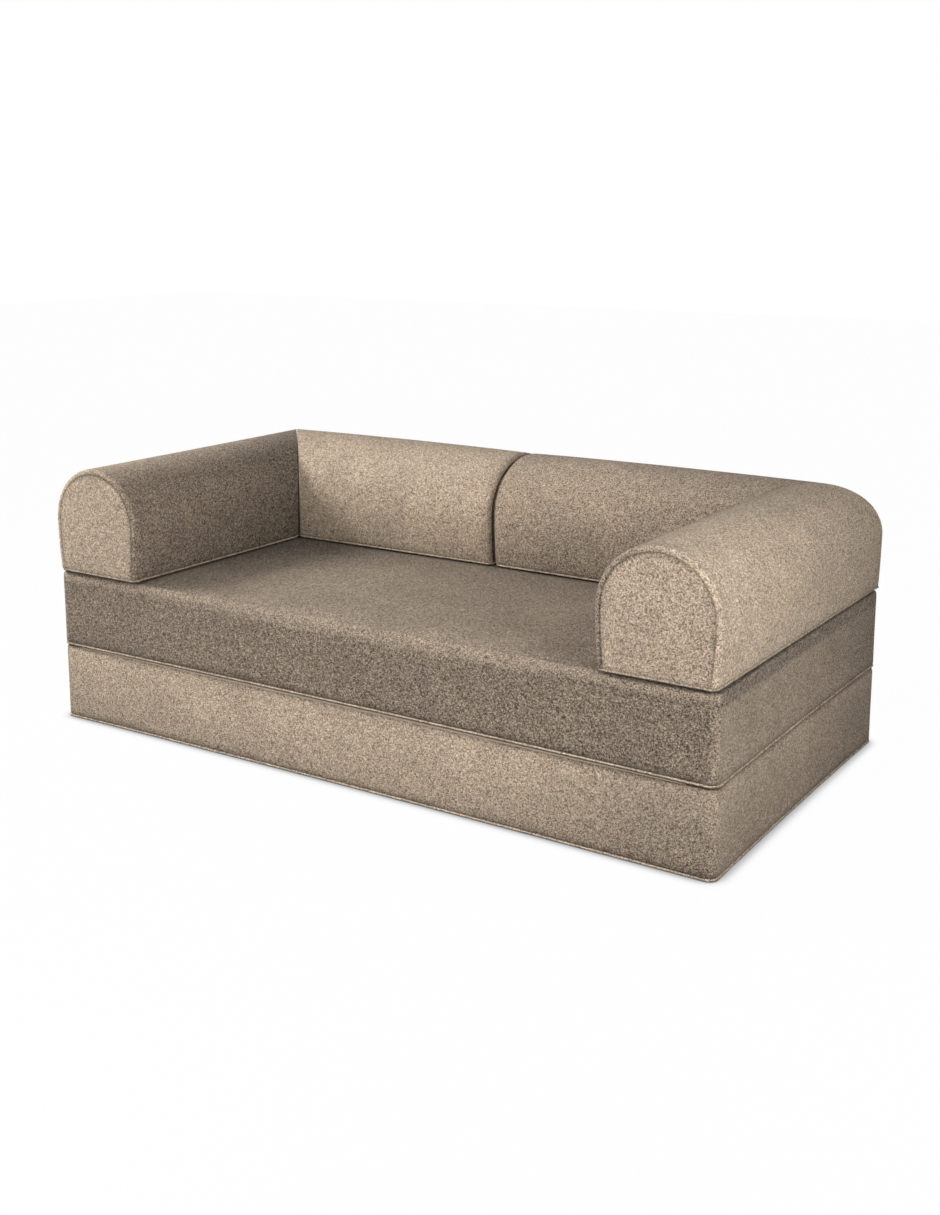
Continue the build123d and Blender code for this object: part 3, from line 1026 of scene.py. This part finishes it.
# A flat sheet gets its thickness behind the side that faces up, at 1, or down, at -1
def thicken(bm, facing, thickness):
    bmesh.ops.recalc_face_normals(bm, faces=bm.faces)
    if bm.faces[:][0].normal.z * facing < 0:
        bmesh.ops.reverse_faces(bm, faces=bm.faces)
    bmesh.ops.solidify(bm, geom=bm.faces[:], thickness=thickness)


def finishPanel(name, bm, level):
    for vert in bm.verts:
        vert.co.z = level + panel["ripple"] * abs(noise.noise(vert.co * panel["rippleScale"]))
    thicken(bm, -1, panel["thickness"])
    bmesh.ops.recalc_face_normals(bm, faces=bm.faces)
    piece = makePiece(name + "_underlay", bm, [underlay], smooth=False)
    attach(piece, name)
    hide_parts(name + "_bottom_panel")


for name in ("base", "seat"):
    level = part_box(name + "_bottom_panel")[0].z
    x, y = halfSlab - panel["inset"], halfDepth - panel["inset"]
    bm = panelSheet([(-x, -y, 0), (x, -y, 0), (x, y, 0), (-x, y, 0)],
                    slab["cornerRadius"] - panel["inset"], panel["cell"])
    for vert in bm.verts:
        vert.co.x *= 1 - slab["sideHollow"] / x * (1 - (vert.co.y / y) ** 2)
        if vert.co.y < 0:
            vert.co.y *= 1 - slab["frontHollow"] / y * (1 - (vert.co.x / x) ** 2)
    finishPanel(name, bm, level)

for name, (kind, side) in bolsters.items():
    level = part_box(name + "_bottom_panel")[0].z
    width, length, run, backOff = bolsterSizes(kind)
    edgeIn = bolster["baseDraw"]["end"] + panel["inset"]
    mitreIn = backOff + panel["inset"] * math.hypot(width, run) / width
    corners = []
    for across, atMitre in ((edgeIn, 0), (width - edgeIn, 0), (width - edgeIn, 1), (edgeIn, 1)):
        along = length - run * across / width - mitreIn if atMitre else panel["inset"]
        corners.append(bolsterPlace(kind, side, across, along, 0))
    bm = panelSheet(corners, panel["corner"], panel["cell"])
    zipLow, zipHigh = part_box(name + "_zip")
    middle = (zipLow + zipHigh) / 2
    alongAxis = 1 if kind == "arm" else 0
    acrossAxis = 1 - alongAxis
    for cut in (middle[acrossAxis] - panel["slit"], middle[acrossAxis] + panel["slit"]):
        cutAt(bm, acrossAxis, cut)
    for cut in (zipLow[alongAxis], zipHigh[alongAxis]):
        cutAt(bm, alongAxis, cut)
    cutFaces(bm, lambda point: (
        abs(point[acrossAxis] - middle[acrossAxis]) < panel["slit"]
        and zipLow[alongAxis] < point[alongAxis] < zipHigh[alongAxis]))
    finishPanel(name, bm, level)
print("bottom panels laid")


# Zips: two tapes, a closed coil of meshed teeth, rows of stitches and metal stops

zipChain = {
    "tape": 0.0125, "split": 0.0003, "thickness": 0.0008, "cell": 0.02,
    "ripple": 0.0001, "rippleScale": 40.0,
    "tooth": (0.0012, 0.0029, 0.0016), "pitch": 0.0021, "mesh": 0.0008, "toothRound": 0.0003,
    "stitch": (0.0030, 0.0006, 0.0004), "stitchRound": 0.00015, "stitchRise": 0.0001,
    "stitchPitch": 0.0042, "stitchPlace": 0.0058,
    "stop": (0.004, 0.0062, 0.0018), "stopRound": 0.0005,
}
zipNodes = {name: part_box(name + "_zip") for name in blocks}


# A frame with X along a zip, Y across it and Z out of its tapes' face
def zipFrame(name):
    low, high = zipNodes[name]
    middle = (low + high) / 2
    if name in ("base", "seat"):
        axes = (Vector((1, 0, 0)), Vector((0, 0, -1)), Vector((0, 1, 0)))
        face = Vector((middle.x, low.y + zipChain["thickness"], middle.z))
        return axes, face, high.x - low.x
    kind, side = bolsters[name]
    along = Vector((0, 1, 0)) if kind == "arm" else Vector((side, 0, 0))
    out = Vector((0, 0, -1))
    length = high.y - low.y if kind == "arm" else high.x - low.x
    face = Vector((middle.x, middle.y, high.z - zipChain["thickness"]))
    return (along, out.cross(along), out), face, length


def moveInto(bm, axes, origin):
    turn = Matrix((axes[0], axes[1], axes[2])).transposed().to_4x4()
    bmesh.ops.transform(bm, matrix=Matrix.Translation(origin) @ turn, verts=bm.verts)


def addBlock(bm, size, place, rounding, materialIndex=0, segments=1):
    made = bmesh.ops.create_cube(bm, size=1.0)["verts"]
    bmesh.ops.scale(bm, vec=size, verts=made)
    bmesh.ops.translate(bm, vec=place, verts=made)
    edges = list({edge for vert in made for edge in vert.link_edges})
    rounded = bmesh.ops.bevel(bm, geom=edges, offset=rounding, affect="EDGES", segments=segments,
                              profile=0.5, material=-1)
    for face in {face for vert in rounded["verts"] for face in vert.link_faces}:
        face.material_index = materialIndex


def addRow(bm, size, rounding, start, step, count, materialIndex):
    first = bmesh.new()
    addBlock(first, size, start, rounding, materialIndex)
    mesh = bpy.data.meshes.new("row")
    first.to_mesh(mesh)
    first.free()
    maker = addObject("row_maker", mesh)
    row = maker.modifiers.new("row", "ARRAY")
    row.count = count
    row.use_relative_offset = False
    row.use_constant_offset = True
    row.constant_offset_displace = step
    settle(maker)
    bm.from_mesh(maker.data)
    bpy.data.objects.remove(maker)


for name in blocks:
    axes, face, length = zipFrame(name)
    bm = bmesh.new()
    for way in (-1, 1):
        tapeVerts = bmesh.ops.create_grid(
            bm, x_segments=round(length / zipChain["cell"]), y_segments=3, size=0.5)["verts"]
        for vert in tapeVerts:
            across = way * (zipChain["split"] + (vert.co.y + 0.5) * zipChain["tape"])
            wave = noise.noise(Vector((vert.co.x * zipChain["rippleScale"], across, 0)))
            vert.co = (vert.co.x * length, across, zipChain["ripple"] * wave)
    thicken(bm, 1, zipChain["thickness"])
    stop = zipChain["stop"]
    toothCount = int((length - 2 * stop[0] - zipChain["pitch"]) / zipChain["pitch"])
    firstTooth = -toothCount * zipChain["pitch"] / 2
    toothRise = zipChain["tooth"][2] / 2
    for way in (-1, 1):
        across = way * (zipChain["tooth"][1] / 2 - zipChain["mesh"])
        addRow(bm, zipChain["tooth"], zipChain["toothRound"],
               (firstTooth + (way + 1) / 4 * zipChain["pitch"], across, toothRise),
               (zipChain["pitch"], 0, 0), toothCount, 1)
        stitchCount = int(length / zipChain["stitchPitch"]) - 1
        firstStitch = -stitchCount * zipChain["stitchPitch"] / 2
        addRow(bm, zipChain["stitch"], zipChain["stitchRound"],
               (firstStitch, way * zipChain["stitchPlace"], zipChain["stitchRise"]),
               (zipChain["stitchPitch"], 0, 0), stitchCount, 3)
        addBlock(bm, stop, (way * (length / 2 - stop[0] / 2), 0, stop[2] / 2),
                 zipChain["stopRound"], 2, 2)
    moveInto(bm, axes, face)
    piece = makePiece(name + "_zip_chain", bm, [zipTape, coilNylon, nickel, stitchThread],
                      smooth=False)
    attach(piece, name)
    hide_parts(name + "_zip")
print("zips sewn in")


# Sliders: a tapered body over the coil, a bridge on it and a flat pull with a slot

slider = {
    "body": (0.010, 0.0066, 0.0022), "rise": 0.0004, "nose": 0.74, "rounding": 0.0006,
    "bridge": (0.0052, 0.0018, 0.0012), "bridgeRound": 0.0005, "slot": 0.0013,
    "pull": (0.024, 0.005, 0.0008), "pullLap": 0.002, "pullRise": 0.0001, "pullRound": 0.0018,
}


def sliderPiece(name):
    axes, face = zipFrame(name)[:2]
    low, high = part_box(name + "_zip_slider")
    tail = min((corner - face).dot(axes[0]) for corner in (low, high))
    body, pull = slider["body"], slider["pull"]
    bm = bmesh.new()
    addBlock(bm, body, (tail + body[0] / 2, 0, slider["rise"] + body[2] / 2),
             slider["rounding"], 0, 3)
    for vert in bm.verts:
        if vert.co.x < tail + body[0] / 2:
            vert.co.y *= slider["nose"] + (1 - slider["nose"]) * (vert.co.x - tail) / (body[0] / 2)
    top = slider["rise"] + body[2]
    addBlock(bm, slider["bridge"], (tail + body[0] / 2, 0, top), slider["bridgeRound"], 0, 3)
    pullStart = len(bm.faces)
    made = bmesh.ops.create_cube(bm, size=1.0)["verts"]
    bmesh.ops.scale(bm, vec=pull, verts=made)
    pullMiddle = tail + body[0] + pull[0] / 2 - slider["pullLap"]
    bmesh.ops.translate(bm, vec=(pullMiddle, 0, top + slider["pullRise"]), verts=made)
    uprights = [edge for edge in {edge for vert in made for edge in vert.link_edges}
                if abs(edge.verts[0].co.z - edge.verts[1].co.z) > pull[2] / 2]
    bmesh.ops.bevel(bm, geom=uprights, offset=slider["pullRound"], affect="EDGES", segments=4,
                    profile=0.5, material=-1)
    flats = [item for item in bm.faces[:][pullStart:] if abs(item.normal.z) > 0.9]
    bmesh.ops.inset_region(bm, faces=flats, thickness=slider["slot"])
    rims = [edge for item in flats for edge in item.edges]
    bmesh.ops.delete(bm, geom=flats, context="FACES_ONLY")
    bmesh.ops.bridge_loops(bm, edges=rims)
    bmesh.ops.recalc_face_normals(bm, faces=bm.faces)
    moveInto(bm, axes, face)
    piece = makePiece(name + "_zip_pull", bm, [nickel], smooth=False)
    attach(piece, name + "_slider")
    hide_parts(name + "_zip_slider")


for name in blocks:
    sliderPiece(name)
print("sliders fitted")


# Hook and loop strips: a flat selvedge round a raised pile

strip = {
    "width": 0.05, "selvedge": 0.004, "selvedgeThickness": 0.0009, "corner": 0.003, "cell": 0.008,
    "pileLean": 0.0006, "tufting": 0.0003, "tuftScale": 130.0,
}


def extrudeUp(bm, faces, rise):
    made = bmesh.ops.extrude_face_region(bm, geom=faces)["geom"]
    bmesh.ops.translate(bm, vec=(0, 0, rise), verts=[
        item for item in made if isinstance(item, bmesh.types.BMVert)])
    return [item for item in made if isinstance(item, bmesh.types.BMFace)]


def addStrip(bm, low, high, baseLevel, pileLevel):
    rise = 1 if pileLevel > baseLevel else -1
    corners = [(low.x, low.y, 0), (high.x, low.y, 0), (high.x, high.y, 0), (low.x, high.y, 0)]
    sheet = panelSheet(corners, strip["corner"])
    bmesh.ops.translate(sheet, verts=sheet.verts, vec=(0, 0, baseLevel))
    selvedge = extrudeUp(sheet, sheet.faces[:], rise * strip["selvedgeThickness"])
    bmesh.ops.inset_region(sheet, faces=selvedge, thickness=strip["selvedge"])
    pile = extrudeUp(sheet, selvedge, pileLevel - baseLevel - rise * strip["selvedgeThickness"])
    for face in pile:
        face.material_index = 1
    middle = (low + high) / 2
    for vert in {vert for face in pile for vert in face.verts}:
        vert.co.x += math.copysign(strip["pileLean"], middle.x - vert.co.x)
        vert.co.y += math.copysign(strip["pileLean"], middle.y - vert.co.y)
    cutEvenly(sheet, low, high, strip["cell"])
    for vert in sheet.verts:
        if abs(vert.co.z - pileLevel) < 1e-5:
            tuft = abs(noise.noise(vert.co * strip["tuftScale"]))
            vert.co.z -= rise * strip["tufting"] * tuft
    bmesh.ops.recalc_face_normals(sheet, faces=sheet.faces)
    joinTo(bm, sheet)


def stripPlaces(name):
    kind = bolsters[name][0]
    low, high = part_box(name + "_hook_strips")
    axis = 0 if kind == "arm" else 1
    for start in (low[axis], high[axis] - strip["width"]):
        first, last = low.copy(), high.copy()
        first[axis], last[axis] = start, start + strip["width"]
        yield first, last


loops = bmesh.new()
loopLow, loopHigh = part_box("loop_strips")
for name in bolsters:
    hooks = bmesh.new()
    for low, high in stripPlaces(name):
        addStrip(hooks, low, high, high.z, low.z)
        addStrip(loops, low, high, loopLow.z, loopHigh.z)
    piece = makePiece(
        name + "_hook_tapes", hooks, [hookWeb, hookPile], smooth=False)
    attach(piece, name)
    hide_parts(name + "_hook_strips")
piece = makePiece("seat_loop_tapes", loops, [hookWeb, loopPile], smooth=False)
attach(piece, "seat")
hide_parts("loop_strips")
print("hook and loop strips sewn on")


# The cloth hinge: one strip, folded round the hinge line between the slabs

hinge = {
    "thickness": 0.001, "cell": 0.02, "leafCells": 6, "turnSteps": 6, "line": (-0.5004, 0.2012),
}


def hingeSheet():
    lowerLow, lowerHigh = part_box("hinge_cloth_lower")
    upperLow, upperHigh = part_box("hinge_cloth_upper")
    lineY, lineZ = hinge["line"]
    rear = lowerHigh.y
    upperLevel = (upperLow.z + upperHigh.z) / 2
    turnRadius = upperLevel - lineZ
    profile = []
    for index in range(hinge["leafCells"] + 1):
        profile.append((rear + (lineY - rear) * index / hinge["leafCells"], lineZ - turnRadius))
    for index in range(1, hinge["turnSteps"]):
        turn = math.pi * index / hinge["turnSteps"]
        profile.append((lineY - turnRadius * math.sin(turn), lineZ - turnRadius * math.cos(turn)))
    for index in range(hinge["leafCells"] + 1):
        profile.append((lineY + (rear - lineY) * index / hinge["leafCells"], upperLevel))
    bm = bmesh.new()
    halfLength = lowerHigh.x
    bmesh.ops.create_grid(
        bm, x_segments=round(2 * halfLength / hinge["cell"]), y_segments=1, size=1.0)
    for vert in bm.verts:
        row = 0 if vert.co.y < 0 else 1
        vert.co = (vert.co.x * halfLength, *profile[row])
    edges = [edge for edge in bm.edges if edge.is_boundary
             and all(abs(vert.co.y - profile[1][0]) < 1e-6 for vert in edge.verts)]
    for y, z in profile[2:]:
        edges = nextRing(bm, edges, lambda vert: (vert.co.x, y, z))
    bmesh.ops.recalc_face_normals(bm, faces=bm.faces)
    bmesh.ops.solidify(bm, geom=bm.faces[:], thickness=hinge["thickness"])
    middle = sum((vert.co.z for vert in bm.verts)) / len(bm.verts)
    bmesh.ops.translate(bm, verts=bm.verts, vec=(0, 0, lineZ - middle))
    piece = makePiece("hinge_cloth", bm, [hingeCloth])
    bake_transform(piece)
    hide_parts("hinge_cloth_lower", "hinge_cloth_upper")


hingeSheet()
print("hinge cloth folded")


# The fillings stay as they were cut

for node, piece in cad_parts.items():
    for ending, finish in (("_foam_core", foam), ("_wadding", wadding)):
        if node.endswith(ending):
            piece.data.materials.clear()
            piece.data.materials.append(finish)


# Camera, floor and lamps

camera = {
    "place": (2.069, -3.141, 1.358), "yaw": 32.95, "pitch": 11.08, "lens": 44.06, "shift": -0.0905,
}
studioCamera = addObject("camera", bpy.data.cameras.new("camera"))
studioCamera.data.lens = camera["lens"]
studioCamera.data.sensor_width = 36.0
studioCamera.data.shift_y = camera["shift"]
studioCamera.location = camera["place"]
studioCamera.rotation_euler = (
    math.radians(90 - camera["pitch"]), 0.0, math.radians(camera["yaw"])
)
scene.camera = studioCamera

studio = {
    "floorSize": 30.0,
    "floorLevel": -0.0004,
    "floorColour": (0.45, 0.45, 0.45, 1.0),
    "ownLight": 0.985,
    "contact": 0.035,
    "worldStrength": 0.18,
}


# 1 where the camera sees a surface straight or in a gloss
def seenRay(tree):
    path = addNode(tree, "LightPath")
    return calculate(
        tree, "MAXIMUM", path.outputs["Is Camera Ray"], path.outputs["Is Glossy Ray"])


def addFloor():
    bm = bmesh.new()
    bmesh.ops.create_grid(bm, x_segments=2, y_segments=2, size=studio["floorSize"] / 2)
    bmesh.ops.translate(bm, verts=bm.verts, vec=(0, 0, studio["floorLevel"]))
    material, tree, shader = startMaterial("floor")
    setInputs(tree, shader, {
        "Base Color": studio["floorColour"], "Roughness": 0.9, "Specular IOR Level": 0.0})
    # To the camera the floor glows nearly white, and an occlusion ramp paints a contact shadow on
    # it next to the sofa; a small share of its lit colour keeps the lamps' own shadow
    closeness = addNode(tree, "AmbientOcclusion", {"samples": 12}, {"Distance": studio["contact"]})
    contact = addRamp(tree, closeness.outputs["AO"], [
        (0.25, (0.20, 0.20, 0.20)), (0.55, (0.55, 0.55, 0.56)), (0.8, (0.93, 0.93, 0.94)),
        (0.97, (1.0, 1.0, 1.0))])
    glow = addNode(tree, "Emission", inputs={"Color": contact, "Strength": 1.0})
    mix = addNode(tree, "MixShader", inputs={
        0: calculate(tree, "MULTIPLY", seenRay(tree), studio["ownLight"]),
        1: shader.outputs["BSDF"], 2: glow.outputs["Emission"]})
    tree.links.new(mix.outputs["Shader"], tree.nodes["Material Output"].inputs["Surface"])
    floor = addObject("floor", bpy.data.meshes.new("floor"))
    bm.to_mesh(floor.data)
    bm.free()
    floor.data.materials.append(material)


def addWorld():
    world = bpy.data.worlds.new("studio")
    scene.world = world
    world.use_nodes = True
    tree = world.node_tree
    tree.nodes.clear()
    output = tree.nodes.new("ShaderNodeOutputWorld")
    room = addNode(tree, "Background", inputs={
        "Color": (1.0, 1.0, 1.0, 1.0), "Strength": studio["worldStrength"]})
    white = addNode(tree, "Background", inputs={"Color": (1.0, 1.0, 1.0, 1.0), "Strength": 1.0})
    mix = addNode(tree, "MixShader", inputs={
        0: seenRay(tree), 1: room.outputs["Background"], 2: white.outputs["Background"]})
    tree.links.new(mix.outputs["Shader"], output.inputs["Surface"])


# Each lamp: where it stands, what it points at, its size and its power
lamps = {
    "left_key": {"place": (-2.4, -0.8, 2.0), "aim": (0, 0, 0.35), "size": 0.6, "power": 52.0},
    "right_side": {
        "place": (2.3, -1.0, 1.1), "aim": (0.95, -0.3, 0.45), "size": 0.8, "power": 22.0},
    "front_left": {
        "place": (-1.6, -2.4, 1.0), "aim": (-0.7, -0.5, 0.3), "size": 0.9, "power": 11.0},
    "front_low": {"place": (0.2, -2.4, 0.5), "aim": (0.2, -0.5, 0.2), "size": 0.9, "power": 17.0},
    "over_right": {"place": (0.6, -1.1, 2.0), "aim": (0.5, 0.3, 0.5), "size": 0.9, "power": 11.5},
    "over_left": {"place": (-0.3, -0.9, 1.9), "aim": (-0.3, 0.3, 0.5), "size": 0.9, "power": 3.0},
}


def addLamps():
    for name, lamp in lamps.items():
        light = bpy.data.lights.new(name, "AREA")
        light.energy = lamp["power"]
        light.size = lamp["size"]
        stand = addObject(name, light)
        stand.location = lamp["place"]
        facing = Vector(lamp["aim"]) - Vector(lamp["place"])
        stand.rotation_euler = facing.to_track_quat("-Z", "Y").to_euler()


addFloor()
addWorld()
addLamps()
print("studio set")
